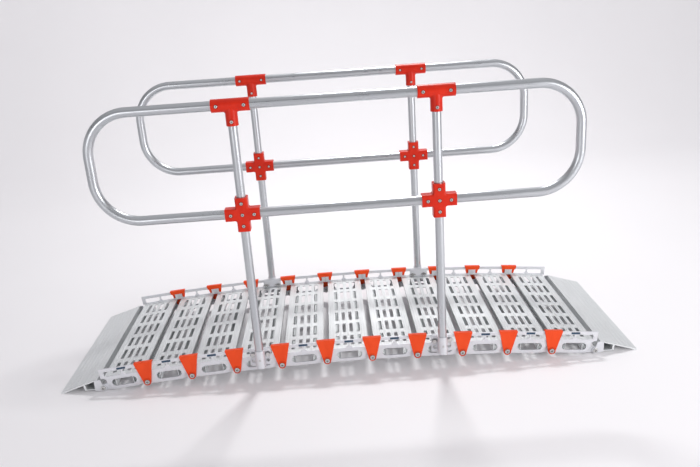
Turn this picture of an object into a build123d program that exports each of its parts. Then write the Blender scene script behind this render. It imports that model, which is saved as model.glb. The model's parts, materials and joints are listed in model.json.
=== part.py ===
from build123d import *
import math
import os

# Portable roll-up wheelchair ramp with two clamp-on handrails. Millimetres.
# X runs along the ramp, Y across it (the near side is -Y), Z up from the floor, with the
# origin on the floor under the middle of the ramp.
# Eleven link modules hang together on hinge bolts low in their side plates. The end edges
# of neighbouring plates meet above the bolts, so the chain stands as a shallow arch and
# rolls up only with the deck outwards.

# Link chain
module_count = 11
pin_pitch = 175.0
joint_turn = 1.04
end_edge_gap = 0.8

# Layers across the width, from the ramp's centre plane
plate_inner_face = 345.0
plate_thickness = 5.0
layer_gap = 0.5
part_gap = 0.3

# Side plates, heights from the line through the hinge bolts
plate_bottom = -10.0
plate_top = 80.0
rail_height = 12.5
window_bottom = 46.0
window_end = 71.6
window_corner = 5.0
strut_width = 6.0
strut_foot_width = 24.0
strut_foot_height = 10.0
grip_hole_length = 96.0
grip_hole_height = 30.0
grip_hole_centre = 17.0
ear_radius = 13.0
notch_centre = 27.0
notch_radius = 13.0
notch_depth = 21.0
joggle_start = 44.0
joggle_width = 13.0
joggle_lean = 0.78

# Deck extrusions
deck_length = 154.0
deck_top = 42.0
deck_skin = 3.0
web_spread = 107.0
web_thickness = 3.0
web_bottom = 1.0
web_foot_width = 13.0
chamber_wall = 33.0
chamber_thickness = 2.0
deck_lip_height = 8.0
deck_rib_height = 1.2
deck_rib_width = 2.0
edge_rib_spread = 67.0
slot_width = 14.0
slot_length = 80.0
slot_corner = 3.0
slot_rows = 4
slots_per_row = 6
slot_row_pitch = 28.4
slot_pitch = 110.0
cope_height = 30.0

# Hinge bolts and nuts
bolt_radius = 4.0
bolt_clearance = 0.1
bolt_head_radius = 9.5
bolt_head_height = 3.0
bolt_socket = 7.0
bolt_socket_depth = 2.0
nut_across_flats = 13.0
nut_height = 4.5

# Joint clips
clip_eye_radius = 14.4
clip_half_angle = 13.9
clip_top = 85.0
clip_thickness = 5.0
clip_ceiling = 4.0
clip_lip_height = 17.0
clip_round = 1.2

# End flaps, heights from the hinge bolt
lug_radius = 13.0
lug_reach = 32.0
lug_top = 34.0
flap_start = 20.0
flap_reach = 167.0
flap_hinge_top = 36.0
flap_skin = 4.0
flap_tip_height = 3.0
flap_tip_foot = 16.0
flap_wall = 3.5
flap_floor = -7.0
flap_chamber_end = 70.0
flap_heel = 16.0
flap_rib_count = 7
flap_rib_height = 0.8
flap_rib_width = 2.0

# Handrails, heights from the bolt line of the modules that carry the posts
post_module_offset = 2
handrail_shift = 8.0
post_radius = 16.0
rail_radius = 17.5
tube_wall = 2.5
top_rail_height = 1012.0
mid_rail_height = 627.0
rail_overhang = 505.0
bend_radius = 150.0
butt_gap = 1.0

# Tee and cross clamps, each split into an outer and an inner half
clamp_wall = 5.0
clamp_clearance = 0.2
clamp_split = 1.0
tee_length = 131.0
tee_stem_length = 70.0
tee_screw_spread = 94.0
tee_stem_screw = 55.0
cross_length = 124.0
cross_screw_spread = 83.0
cross_edge_round = 8.0
corner_round = 6.0
screw_radius = 2.5
screw_head_radius = 5.5
screw_head_height = 3.5
screw_seat_radius = 7.0
screw_seat_depth = 2.0
screw_socket = 4.0
small_nut_across_flats = 8.0
small_nut_height = 3.5

# Post brackets
bracket_width = 80.0
bracket_bottom = 10.0
bracket_top = 79.0
bracket_thickness = 4.0
bracket_corner = 5.0
sleeve_wall = 2.5
sleeve_clearance = 0.2
sleeve_sink = 2.5
sleeve_top = 83.0
sleeve_screw_height = 46.0
post_foot_lift = 2.0
keyhole_spread = 56.0
keyhole_radius = 11.0
keyhole_height = 57.0
keyhole_neck_width = 14.0
keyhole_neck_bottom = 22.0
clamp_plate_bottom = 45.0
clamp_plate_top = 78.0
bracket_bolt_height = 53.0
bracket_bolt_head_radius = 9.0
wing_hub_radius = 7.0
wing_hub_height = 9.0
wing_length = 11.0
wing_height = 8.0
wing_thickness = 3.0

# Worked out from the sizes above
plate_outer_face = plate_inner_face + plate_thickness
tongue_outer_face = plate_inner_face - layer_gap
tongue_inner_face = tongue_outer_face - plate_thickness
clip_inner_face = plate_outer_face + layer_gap
clip_outer_face = clip_inner_face + clip_thickness
bracket_outer_face = plate_outer_face + bracket_thickness
sleeve_radius = post_radius + sleeve_clearance + sleeve_wall
post_plane = bracket_outer_face + sleeve_radius - sleeve_sink
half_pitch = pin_pitch / 2
middle_module = (module_count + 1) // 2
bolt_hole_radius = bolt_radius + bolt_clearance


def slab(sketch, inner, outer):
    """Solid between two distances from the centre plane, from an XZ outline."""
    return extrude(Plane.XZ.offset(-outer) * sketch, amount=outer - inner, dir=(0, -1, 0))


def cross_rod(radius, inner, outer, x=0.0, z=0.0):
    """Solid round rod along Y."""
    return slab(Pos(x, z) * Circle(radius), inner, outer)


def hexagon(across_flats):
    """Hexagon outline for a nut or a socket."""
    return RegularPolygon(across_flats / 2, 6, major_radius=False)


def rod(radius, length):
    """Solid round rod along Z, centred on the origin."""
    return Cylinder(radius, length)


def other_side(pieces):
    """Near-side copies of far-side pieces."""
    return [mirror(piece, about=Plane.XZ) for piece in pieces]


def both_sides(pieces):
    """Near-side and far-side copies of far-side pieces."""
    return other_side(pieces) + list(pieces)


def module_slope(module):
    """Slope of a module in degrees, rising towards +X."""
    return (middle_module - module) * joint_turn


def chain_pins():
    """Hinge axes (x, z) from the left flap's to the right flap's."""
    x, z = 0.0, 0.0
    pins = [(x, z)]
    for module in range(1, module_count + 1):
        slope = math.radians(module_slope(module))
        x += pin_pitch * math.cos(slope)
        z += pin_pitch * math.sin(slope)
        pins.append((x, z))
    return [(px - x / 2, pz + lug_radius) for px, pz in pins]


PINS = chain_pins()


def module_place(module):
    """Frame of a module: midway between its bolts, turned to its slope."""
    (x0, z0), (x1, z1) = PINS[module - 1], PINS[module]
    return Location(((x0 + x1) / 2, 0, (z0 + z1) / 2), (0, -module_slope(module), 0))


def joint_place(joint):
    """Frame of the joint between modules joint and joint + 1, upright on its bisector."""
    x, z = PINS[joint]
    slope = (module_slope(joint) + module_slope(joint + 1)) / 2
    return Location((x, 0, z), (0, -slope, 0))


def placed(place, pieces):
    """Copies of pieces moved to a place."""
    return [place * piece for piece in pieces]


def end_reach(height):
    """Distance from a module's middle to its end edge at a height."""
    return half_pitch + height * math.tan(math.radians(joint_turn) / 2) - end_edge_gap / 2


def plate_outline():
    """Side plate outline with ears, notches, windows and grip hole."""
    low = end_reach(plate_bottom)
    high = end_reach(plate_top)
    corners = [(-low, plate_bottom), (low, plate_bottom), (high, plate_top), (-high, plate_top)]
    outline = Polygon(*corners, align=None)
    window_height = plate_top - rail_height - window_bottom
    window_length = window_end - strut_width / 2
    window = RectangleRounded(window_length, window_height, window_corner)
    foot = Polygon(
        (-strut_foot_width / 2, window_bottom),
        (strut_foot_width / 2, window_bottom),
        (strut_width / 2, window_bottom + strut_foot_height),
        (-strut_width / 2, window_bottom + strut_foot_height),
        align=None,
    )
    for side in (-1, 1):
        outline += Pos(side * half_pitch, 0) * Circle(ear_radius)
        notch_middle = half_pitch - notch_depth + notch_radius
        outline -= Pos(side * notch_middle, notch_centre) * Circle(notch_radius)
        outline -= Pos(side * (notch_middle + notch_depth), notch_centre) * Rectangle(
            2 * notch_depth, 2 * notch_radius
        )
        window_middle = side * (strut_width / 2 + window_length / 2)
        outline -= Pos(window_middle, window_bottom + window_height / 2) * window
        outline -= Pos(side * half_pitch, 0) * Circle(bolt_hole_radius)
    outline -= Pos(0, grip_hole_centre) * SlotOverall(grip_hole_length, grip_hole_height)
    return outline + foot


def joggle_line(height):
    """Where the joggle of a right-hand ear starts at a height."""
    return joggle_start + joggle_lean * (height - plate_bottom)


def beyond_joggle(offset):
    """Region of the plate outline past the joggle line, moved outwards by offset."""
    low, high = -ear_radius - 1, notch_centre
    far = pin_pitch
    return Polygon(
        (joggle_line(low) + offset, low),
        (far, low),
        (far, high),
        (joggle_line(high) + offset, high),
        align=None,
    )


def joggle_band():
    """Slanted strip that carries a right-hand ear from the outer layer to the inner one."""
    sections = []
    for height in (plate_bottom - 1, notch_centre):
        start = joggle_line(height)
        end = start + joggle_width
        section = Polygon(
            (start, plate_outer_face),
            (start, plate_inner_face),
            (end, tongue_inner_face),
            (end, tongue_outer_face),
            align=None,
        )
        sections.append(Plane.XY.offset(height) * section)
    return loft(sections, ruled=True)


def side_plate(joggled_sides):
    """Far-side plate of a module. Ears on joggled sides (-1 left, 1 right) step inwards."""
    outline = plate_outline()
    flat = outline
    stepped = None
    for side in joggled_sides:
        cut = beyond_joggle(0)
        tongue = slab(outline & beyond_joggle(joggle_width), tongue_inner_face, tongue_outer_face)
        band = joggle_band() & slab(outline, tongue_inner_face, plate_outer_face)
        ear = tongue + band
        if side < 0:
            cut = mirror(cut, about=Plane.YZ)
            ear = mirror(ear, about=Plane.YZ)
        flat -= cut
        stepped = ear if stepped is None else stepped + ear
    return slab(flat, plate_inner_face, plate_outer_face) + stepped


def deck(coped_sides):
    """Deck extrusion of a module, with its slots, and its webs cut back at stepped ears."""
    profile = Pos(0, deck_top - deck_skin / 2) * Rectangle(deck_length, deck_skin)
    web_height = deck_top - web_bottom
    for side in (-1, 1):
        web_x = side * web_spread / 2
        profile += Pos(web_x, web_bottom + web_height / 2) * Rectangle(web_thickness, web_height)
        foot_x = web_x + side * (web_foot_width - web_thickness) / 2
        profile += Pos(foot_x, web_bottom + web_thickness / 2) * Rectangle(web_foot_width, web_thickness)
        wall_x = side * (chamber_wall + chamber_thickness / 2)
        profile += Pos(wall_x, web_bottom + web_height / 2) * Rectangle(chamber_thickness, web_height)
        floor_width = web_spread / 2 - chamber_wall
        floor_x = side * (chamber_wall + floor_width / 2)
        profile += Pos(floor_x, web_bottom + chamber_thickness / 2) * Rectangle(floor_width, chamber_thickness)
        lip_x = side * (deck_length - deck_skin) / 2
        profile += Pos(lip_x, deck_top - deck_lip_height / 2) * Rectangle(deck_skin, deck_lip_height)
    rib_spread = deck_length / 2 - deck_skin
    rib_rows = [row * slot_row_pitch for row in range(-slot_rows // 2, slot_rows // 2 + 1)]
    for rib_x in rib_rows + [-rib_spread, -edge_rib_spread, edge_rib_spread, rib_spread]:
        profile += Pos(rib_x, deck_top) * Rectangle(deck_rib_width, 2 * deck_rib_height)
    body = extrude(Plane.XZ * profile, amount=plate_inner_face, both=True)
    slot = RectangleRounded(slot_width, slot_length, slot_corner)
    grid = GridLocations(slot_row_pitch, slot_pitch, slot_rows, slots_per_row)
    holes = Sketch() + [spot * slot for spot in grid]
    body -= extrude(Pos(0, 0, deck_top - 2 * deck_skin) * holes, amount=3 * deck_skin)
    cope_depth = plate_inner_face - tongue_inner_face + layer_gap
    cope_inner = joggle_start - web_thickness
    for side in coped_sides:
        for end in (-1, 1):
            cope = Box(half_pitch - cope_inner, cope_depth, cope_height)
            cope_x = side * (half_pitch + cope_inner) / 2
            cope_y = end * (plate_inner_face - cope_depth / 2)
            body -= Pos(cope_x, cope_y, web_bottom + cope_height / 2) * cope
    return body


def hinge_bolt(seat):
    """Socket-head bolt and nut through the far ears, its head seated at a distance out."""
    nut_outer = tongue_inner_face - part_gap
    nut_inner = nut_outer - nut_height
    head = cross_rod(bolt_head_radius, seat, seat + bolt_head_height)
    head = fillet(head.faces().sort_by(Axis.Y)[-1].edges(), bolt_head_height / 3)
    socket_floor = seat + bolt_head_height - bolt_socket_depth
    head -= slab(hexagon(bolt_socket), socket_floor, seat + 2 * bolt_head_height)
    bolt = head + cross_rod(bolt_radius, nut_inner - bolt_radius / 2, seat)
    nut = slab(hexagon(nut_across_flats) - Circle(bolt_radius + bolt_clearance / 2), nut_inner, nut_outer)
    return [bolt, nut]


def clip_outline():
    """Sector outline of a clip: a round eye on the bolt, sides that open towards the top."""
    angle = math.radians(clip_half_angle)
    side_x = clip_eye_radius * math.cos(angle)
    side_z = -clip_eye_radius * math.sin(angle)
    top_x = side_x + (clip_top - side_z) * math.tan(angle)
    sector = Polygon(
        (-side_x, side_z), (side_x, side_z), (top_x, clip_top), (-top_x, clip_top), align=None
    )
    return sector + Circle(clip_eye_radius)


def clip_cap(low, inner, outer):
    """Slice of the clip above a height, across part of the width."""
    above = Pos(0, low + clip_top / 2) * Rectangle(pin_pitch, clip_top)
    return slab(clip_outline() & above, inner, outer)


def joint_clip():
    """Far-side clip: a sector outside the plates, its cap hooked over their rails."""
    lip_outer = tongue_outer_face
    lip_inner = tongue_inner_face
    sector = slab(clip_outline() - Circle(bolt_hole_radius), clip_inner_face, clip_outer_face)
    ceiling = clip_cap(clip_top - clip_ceiling, lip_inner, clip_outer_face)
    lip = clip_cap(clip_top - clip_lip_height, lip_inner, lip_outer)
    body = sector + ceiling + lip
    top = body.faces().sort_by(Axis.Z)[-1]
    return fillet(top.edges(), clip_round)


def flap_top(reach):
    """Height of the flap's upper face above its hinge at a distance out."""
    tip = flap_tip_height - lug_radius
    share = (reach - flap_start) / (flap_reach - flap_start)
    return flap_hinge_top + share * (tip - flap_hinge_top)


def flap_extrusion():
    """Right-hand flap: a wedge with a closed heel, an open underside and ribs on top."""
    ground = -lug_radius
    foot_start = flap_reach - flap_tip_foot
    outline = Polygon(
        (flap_start, flap_hinge_top),
        (flap_reach, flap_top(flap_reach)),
        (flap_reach, ground),
        (foot_start, ground),
        (foot_start - flap_skin, flap_top(foot_start) - flap_skin),
        (flap_chamber_end + 2 * flap_wall, flap_top(flap_chamber_end + 2 * flap_wall) - flap_skin),
        (flap_chamber_end + flap_wall, flap_floor),
        (flap_heel, flap_floor),
        align=None,
    )
    chamber = Polygon(
        (flap_start + flap_wall, flap_top(flap_start + flap_wall) - flap_skin),
        (flap_chamber_end, flap_top(flap_chamber_end) - flap_skin),
        (flap_chamber_end - flap_wall, flap_floor + flap_wall),
        (flap_heel + flap_wall, flap_floor + flap_wall),
        align=None,
    )
    profile = outline - chamber
    slope = math.degrees(math.atan2(flap_top(flap_reach) - flap_hinge_top, flap_reach - flap_start))
    rib_pitch = (flap_reach - flap_start) / (flap_rib_count + 1)
    for rib in range(1, flap_rib_count + 1):
        reach = flap_start + rib * rib_pitch
        bar = Rot(0, 0, slope) * Rectangle(flap_rib_width, 2 * flap_rib_height)
        profile += Pos(reach, flap_top(reach)) * bar
    return extrude(Plane.XZ * profile, amount=plate_inner_face, both=True)


def flap_lug():
    """Far-side lug that hangs the right-hand flap on its hinge bolt."""
    outline = Polygon(
        (0, lug_radius),
        (flap_start - lug_radius, lug_top),
        (flap_start, lug_top),
        (lug_reach, flap_top(lug_reach)),
        (lug_reach, flap_floor),
        (0, -lug_radius),
        align=None,
    )
    outline += Circle(lug_radius)
    return slab(outline - Circle(bolt_hole_radius), plate_inner_face, plate_outer_face)


def flap_place(side):
    """Frame of a flap hinge, side -1 left and 1 right."""
    x, z = PINS[0] if side < 0 else PINS[-1]
    return Location((x, 0, z))


def facing(side, pieces):
    """Right-hand pieces as they are, or mirrored for the left end."""
    if side > 0:
        return list(pieces)
    return [mirror(piece, about=Plane.YZ) for piece in pieces]


def post_positions():
    """Post axes (x, height of the bolt line) on the two modules that carry them."""
    spots = []
    for offset in (-post_module_offset, post_module_offset):
        module = middle_module + offset
        (x0, z0), (x1, z1) = PINS[module - 1], PINS[module]
        spots.append(((x0 + x1) / 2 + handrail_shift, (z0 + z1) / 2))
    return spots


POSTS = post_positions()


def tube(radius, path):
    """Round tube along a path."""
    start = Plane(origin=path @ 0, z_dir=path % 0)
    ring = Circle(radius) - Circle(radius - tube_wall)
    return sweep(start * ring, path=path)


def tee_screw_spots(x, z):
    """Screw axes of a tee clamp centred on the top rail at x, z."""
    reach = tee_screw_spread / 2
    return [(x - reach, z), (x + reach, z), (x, z - tee_stem_screw)]


def cross_screw_spots(x, z):
    """Screw axes of a cross clamp centred at x, z."""
    reach = cross_screw_spread / 2
    return [(x, z), (x - reach, z), (x + reach, z), (x, z - reach), (x, z + reach)]


def handrail_screw_spots():
    """All clamp screw axes of one handrail."""
    spots = []
    for x, z in POSTS:
        spots += tee_screw_spots(x, z + top_rail_height)
        spots += cross_screw_spots(x, z + mid_rail_height)
    return spots


def drilled(piece):
    """A handrail tube with the clamp screw holes through it."""
    box = piece.bounding_box()
    for x, z in handrail_screw_spots():
        inside_x = box.min.X - screw_radius < x < box.max.X + screw_radius
        inside_z = box.min.Z - screw_radius < z < box.max.Z + screw_radius
        if inside_x and inside_z:
            reach = rail_radius + tube_wall
            piece -= cross_rod(screw_radius + bolt_clearance, post_plane - reach, post_plane + reach, x, z)
    return piece


def rail_bends():
    """The two U-bent ends of the far handrail."""
    bends = []
    for side, (x, z) in zip((-1, 1), POSTS):
        top, mid = z + top_rail_height, z + mid_rail_height
        end = x + side * rail_overhang
        path = FilletPolyline(
            (x + side * butt_gap / 2, post_plane, top),
            (end, post_plane, top),
            (end, post_plane, mid),
            (x + side * (post_radius + butt_gap), post_plane, mid),
            radius=bend_radius,
        )
        bends.append(drilled(tube(rail_radius, path)))
    return bends


def rail_straights():
    """Top and middle tubes between the far posts."""
    (x0, z0), (x1, z1) = POSTS
    pieces = []
    for height, gap in ((top_rail_height, butt_gap / 2), (mid_rail_height, post_radius + butt_gap)):
        path = Line((x0 + gap, post_plane, z0 + height), (x1 - gap, post_plane, z1 + height))
        pieces.append(drilled(tube(rail_radius, path)))
    return pieces


def posts():
    """The two far posts, from their sleeves up to the top rail."""
    pieces = []
    for x, z in POSTS:
        foot = z + bracket_bottom + post_foot_lift
        head = z + top_rail_height - rail_radius - butt_gap
        post = tube(post_radius, Line((x, post_plane, foot), (x, post_plane, head)))
        post = drilled(post)
        hole_inner = post_plane
        hole_outer = post_plane + sleeve_radius
        hole = cross_rod(screw_radius + bolt_clearance, hole_inner, hole_outer, x, z + sleeve_screw_height)
        pieces.append(post - hole)
    return pieces


def clamp_bores(reach):
    """Space for the rail along X and the post along Z, centred on the origin."""
    rail = Rot(0, 90, 0) * rod(rail_radius + clamp_clearance, 2 * reach)
    post = rod(post_radius + clamp_clearance, 2 * reach)
    return rail, post


def split_clamp(body, spots):
    """Outer and inner halves of a clamp, with screw holes and flat screw seats."""
    shell = rail_radius + clamp_clearance + clamp_wall
    seat = shell - screw_seat_depth
    for x, z in spots:
        body -= cross_rod(screw_radius + bolt_clearance, -2 * shell, 2 * shell, x, z)
        body -= cross_rod(screw_seat_radius, seat, 2 * shell, x, z)
        body -= cross_rod(screw_seat_radius, -2 * shell, -seat, x, z)
    size = 4 * tee_length
    halves = []
    for side in (-1, 1):
        half_space = Pos(0, side * (size + clamp_split) / 2, 0) * Box(size, size, size)
        halves.append(body & half_space)
    return halves


def tee_clamp():
    """Tee clamp halves centred on the crossing of post and top rail."""
    shell = rail_radius + clamp_clearance + clamp_wall
    stem = post_radius + clamp_clearance + clamp_wall
    rail_bore, post_bore = clamp_bores(tee_length)
    body = Rot(0, 90, 0) * rod(shell, tee_length)
    body += Pos(0, 0, -tee_stem_length / 2) * rod(stem, tee_stem_length)
    meeting = [edge for edge in body.edges() if -shell < edge.center().Z < 0 and edge.length > stem]
    body = fillet([edge for edge in meeting if edge.geom_type != GeomType.LINE], corner_round)
    body -= rail_bore
    body -= Pos(0, 0, -tee_length) * post_bore
    return split_clamp(body, tee_screw_spots(0, 0))


def cross_clamp():
    """Flat-faced cross clamp halves centred on the crossing of post and middle rail."""
    shell = rail_radius + clamp_clearance + clamp_wall
    rail_bore, post_bore = clamp_bores(cross_length)
    outline = Rectangle(cross_length, 2 * shell) + Rectangle(2 * shell, cross_length)
    inner_corners = [v for v in outline.vertices() if max(abs(v.X), abs(v.Y)) < cross_length / 2 - 1]
    outline = fillet(inner_corners, corner_round)
    body = slab(outline, -shell, shell)
    faces = body.faces().sort_by(Axis.Y)
    rims = faces[0].edges() + faces[-1].edges()
    end = cross_length / 2 - 0.1
    body = fillet([e for e in rims if max(abs(e.center().X), abs(e.center().Z)) < end], cross_edge_round)
    body -= rail_bore
    body -= post_bore
    return split_clamp(body, cross_screw_spots(0, 0))


def clamp_screw():
    """Socket screw along Y with its nut, centred on the tube axis."""
    seat = rail_radius + clamp_clearance + clamp_wall - screw_seat_depth
    head = cross_rod(screw_head_radius, seat, seat + screw_head_height)
    head = fillet(head.faces().sort_by(Axis.Y)[-1].edges(), screw_head_height / 3)
    head -= slab(hexagon(screw_socket), seat + screw_head_height / 2, seat + 2 * screw_head_height)
    nut = hexagon(small_nut_across_flats) - Circle(screw_radius + bolt_clearance / 2)
    nut = slab(nut, -seat - small_nut_height, -seat)
    screw = head + cross_rod(screw_radius, -seat - small_nut_height, seat)
    return [screw, nut]


def sleeve_screw():
    """Short screw that locks a post in its sleeve, centred on the post axis."""
    head_inner = sleeve_radius
    head = cross_rod(screw_head_radius / 2 + screw_radius / 2, head_inner, head_inner + screw_radius / 2)
    return [head + cross_rod(screw_radius, post_radius - tube_wall - screw_radius, head_inner)]


def clamps_on_posts(height, clamp):
    """Clamp halves at a height on both far posts."""
    pieces = []
    for x, z in POSTS:
        pieces += placed(Pos(x, post_plane, z + height), clamp)
    return pieces


def handrail_screws():
    """Clamp screws with nuts and sleeve screws of the far handrail."""
    pieces = []
    for x, z in handrail_screw_spots():
        pieces += placed(Pos(x, post_plane, z), clamp_screw())
    for x, z in POSTS:
        pieces += placed(Pos(x, post_plane, z + sleeve_screw_height), sleeve_screw())
    return pieces


def bracket():
    """Far bracket: a keyholed plate with the post sleeve welded to it."""
    height = bracket_top - bracket_bottom
    outline = Pos(0, bracket_bottom + height / 2) * RectangleRounded(bracket_width, height, bracket_corner)
    neck_height = keyhole_height - keyhole_neck_bottom - keyhole_neck_width / 2
    for side in (-1, 1):
        x = side * keyhole_spread / 2
        neck_middle = keyhole_height - neck_height / 2
        outline -= Pos(x, keyhole_height) * Circle(keyhole_radius)
        outline -= Pos(x, neck_middle) * Rectangle(keyhole_neck_width, neck_height)
        outline -= Pos(x, keyhole_height - neck_height) * Circle(keyhole_neck_width / 2)
    body = slab(outline, plate_outer_face, bracket_outer_face)
    sleeve_length = sleeve_top - bracket_bottom
    sleeve_place = Pos(0, post_plane, bracket_bottom + sleeve_length / 2)
    body += sleeve_place * rod(sleeve_radius, sleeve_length)
    body -= sleeve_place * rod(post_radius + sleeve_clearance, 2 * sleeve_length)
    hole_outer = post_plane + 2 * sleeve_radius
    body -= cross_rod(screw_radius + bolt_clearance, post_plane, hole_outer, 0, sleeve_screw_height)
    return body


def clamp_plate():
    """Inner plate that the bracket bolts pull against the side plate."""
    height = clamp_plate_top - clamp_plate_bottom
    outline = RectangleRounded(bracket_width, height, bracket_corner)
    outline = Pos(0, clamp_plate_bottom + height / 2) * outline
    for side in (-1, 1):
        outline -= Pos(side * keyhole_spread / 2, bracket_bolt_height) * Circle(bolt_hole_radius)
    return slab(outline, plate_inner_face - bracket_thickness, plate_inner_face)


def bracket_bolt():
    """Round-head bolt through the bracket with its wing nut inside."""
    nut_outer = plate_inner_face - bracket_thickness
    nut_inner = nut_outer - wing_hub_height
    head = cross_rod(bracket_bolt_head_radius, bracket_outer_face, bracket_outer_face + bolt_head_height)
    head = fillet(head.faces().sort_by(Axis.Y)[-1].edges(), bolt_head_height / 2)
    bolt = head + cross_rod(bolt_radius, nut_inner - bolt_radius, bracket_outer_face)
    wing_nut = cross_rod(wing_hub_radius, nut_inner, nut_outer)
    for side in (-1, 1):
        wing = Polygon(
            (0, 0), (0, wing_height), (wing_length, wing_hub_height), (wing_length, wing_height / 3),
            align=None,
        )
        wing = extrude(wing, amount=wing_thickness / 2, both=True)
        wing = Pos(wing_hub_radius - wing_thickness, nut_inner, 0) * wing
        wing_nut += wing if side > 0 else mirror(wing, about=Plane.YZ)
    wing_nut -= cross_rod(bolt_radius + bolt_clearance / 2, nut_inner - wing_height, nut_outer)
    return [bolt, wing_nut]


def bracket_places():
    """Frames of the far brackets."""
    return [Pos(x, 0, z) for x, z in POSTS]


def on_brackets(pieces):
    """Copies of pieces on both far brackets."""
    copies = []
    for place in bracket_places():
        copies += placed(place, pieces)
    return copies


def bracket_fixings():
    """Bolts and wing nuts of one bracket."""
    pieces = []
    for side in (-1, 1):
        pieces += placed(Pos(side * keyhole_spread / 2, 0, bracket_bolt_height), bracket_bolt())
    return pieces


def stepped_sides(module):
    """Which ears of a module step inwards: all right-hand ones and the chain's first."""
    return (-1, 1) if module == 1 else (1,)


def link_modules(nodes):
    """Decks and side plates, and the bolts and clips of their joints."""
    for module in range(1, module_count + 1):
        place = module_place(module)
        sides = stepped_sides(module)
        nodes[f"deck_{module:02d}"] = placed(place, [deck(sides)])
        nodes[f"side_plates_{module:02d}"] = placed(place, both_sides([side_plate(sides)]))
    bolt = both_sides(hinge_bolt(clip_outer_face + part_gap))
    clip = both_sides([joint_clip()])
    middle_bolts = []
    for joint in range(1, module_count):
        place = joint_place(joint)
        nodes[f"joint_clips_{joint:02d}"] = placed(place, clip)
        if abs(joint + 0.5 - middle_module) < post_module_offset:
            middle_bolts += placed(place, bolt)
        else:
            nodes[f"hinge_bolts_{joint:02d}"] = placed(place, bolt)
    nodes["hinge_bolts_middle"] = middle_bolts


def end_flaps(nodes):
    """Flaps with their lugs and hinge bolts."""
    bolt = both_sides(hinge_bolt(plate_outer_face + part_gap))
    for side, end in ((-1, "left"), (1, "right")):
        place = flap_place(side)
        nodes[f"flap_{end}"] = placed(place, facing(side, [flap_extrusion()]))
        nodes[f"flap_lugs_{end}"] = placed(place, facing(side, both_sides([flap_lug()])))
        nodes[f"flap_bolts_{end}"] = placed(place, bolt)


def handrails(nodes):
    """Rails, posts, clamps and brackets of both sides."""
    far = {
        "rail_bends": rail_bends(),
        "rail_straights": rail_straights(),
        "posts": posts(),
        "tee_clamps": clamps_on_posts(top_rail_height, tee_clamp()),
        "cross_clamps": clamps_on_posts(mid_rail_height, cross_clamp()),
        "post_brackets": on_brackets([bracket()]),
    }
    for name, pieces in far.items():
        nodes[f"{name}_far"] = pieces
        nodes[f"{name}_near"] = other_side(pieces)
    nodes["clamp_screws"] = both_sides(handrail_screws())
    nodes["bracket_clamp_plates"] = both_sides(on_brackets([clamp_plate()]))
    nodes["bracket_bolts"] = both_sides(on_brackets(bracket_fixings()))


def all_nodes():
    """Every node's pieces by name."""
    nodes = {}
    link_modules(nodes)
    end_flaps(nodes)
    handrails(nodes)
    return nodes


def write_nodes(nodes):
    """One STEP file for each node."""
    os.makedirs("parts", exist_ok=True)
    for name, pieces in nodes.items():
        solids = [solid for piece in pieces for solid in piece.solids()]
        shape = solids[0] if len(solids) == 1 else Compound(children=solids)
        export_step(shape, f"parts/{name}.step")


write_nodes(all_nodes())
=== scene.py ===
"""Looks of a roll-up wheelchair ramp with clamp-on handrails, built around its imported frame.

Everything is in metres in the row's frame: X along the ramp, Y across it, Z up from the floor.
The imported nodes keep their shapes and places. This script gives every node a finish and smooth
shading, stands smoothly swept tubes in for the handrail's, and adds the small pieces that the
frame leaves out: moulded collars round the bolt heads and plain name plates.
"""
from __future__ import annotations

import json
import logging
import math
from dataclasses import dataclass
from enum import Enum
from typing import Iterable, Sequence

import bmesh
import bpy
from mathutils import Matrix, Vector

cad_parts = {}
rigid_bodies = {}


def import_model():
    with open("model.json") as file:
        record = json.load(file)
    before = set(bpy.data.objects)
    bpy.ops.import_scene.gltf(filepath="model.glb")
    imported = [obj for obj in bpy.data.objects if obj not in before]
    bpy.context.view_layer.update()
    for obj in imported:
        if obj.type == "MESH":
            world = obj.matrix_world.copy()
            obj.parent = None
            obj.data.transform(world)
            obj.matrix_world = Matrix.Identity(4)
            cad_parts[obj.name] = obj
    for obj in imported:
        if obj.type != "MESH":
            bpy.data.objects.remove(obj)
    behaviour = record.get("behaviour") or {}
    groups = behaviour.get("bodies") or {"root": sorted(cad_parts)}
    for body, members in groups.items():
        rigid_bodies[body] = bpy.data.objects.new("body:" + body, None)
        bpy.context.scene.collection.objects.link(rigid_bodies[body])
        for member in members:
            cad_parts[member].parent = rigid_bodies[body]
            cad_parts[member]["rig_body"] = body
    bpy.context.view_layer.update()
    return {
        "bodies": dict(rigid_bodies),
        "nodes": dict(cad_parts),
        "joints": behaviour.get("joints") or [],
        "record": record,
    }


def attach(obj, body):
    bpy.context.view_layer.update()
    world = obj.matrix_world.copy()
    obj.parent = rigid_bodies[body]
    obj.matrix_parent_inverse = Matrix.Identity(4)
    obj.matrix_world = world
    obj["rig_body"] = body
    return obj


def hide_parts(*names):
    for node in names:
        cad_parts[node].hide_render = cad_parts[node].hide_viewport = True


MM = 0.001
LOG = logging.getLogger("ramp")

Colour = tuple[float, float, float, float]
Point = tuple[float, float, float]
Span = tuple[float, float]
Inputs = dict[str | int, object]

UNIT: Span = (0.0, 1.0)
NOISE_BAND: Span = (0.3, 0.7)  # nearly all of a noise texture's values lie in it
SMOOTH_LIMIT = math.radians(35)
CREASE_LIMIT = math.radians(32)
FACET_GAP = 0.005 * MM
FLAT_FACE_WEIGHT = 80


def linear_rgb(hex_code: str) -> Colour:
    """Turn an sRGB hex colour into Blender's linear colour.

    Args:
        hex_code: Colour such as "#D8322A".

    Returns:
        Linear red, green, blue and an alpha of one.
    """
    digits = hex_code.lstrip("#")
    channels = [int(digits[i : i + 2], 16) / 255 for i in (0, 2, 4)]
    linear = [c / 12.92 if c <= 0.04045 else ((c + 0.055) / 1.055) ** 2.4 for c in channels]
    return (linear[0], linear[1], linear[2], 1.0)


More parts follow.
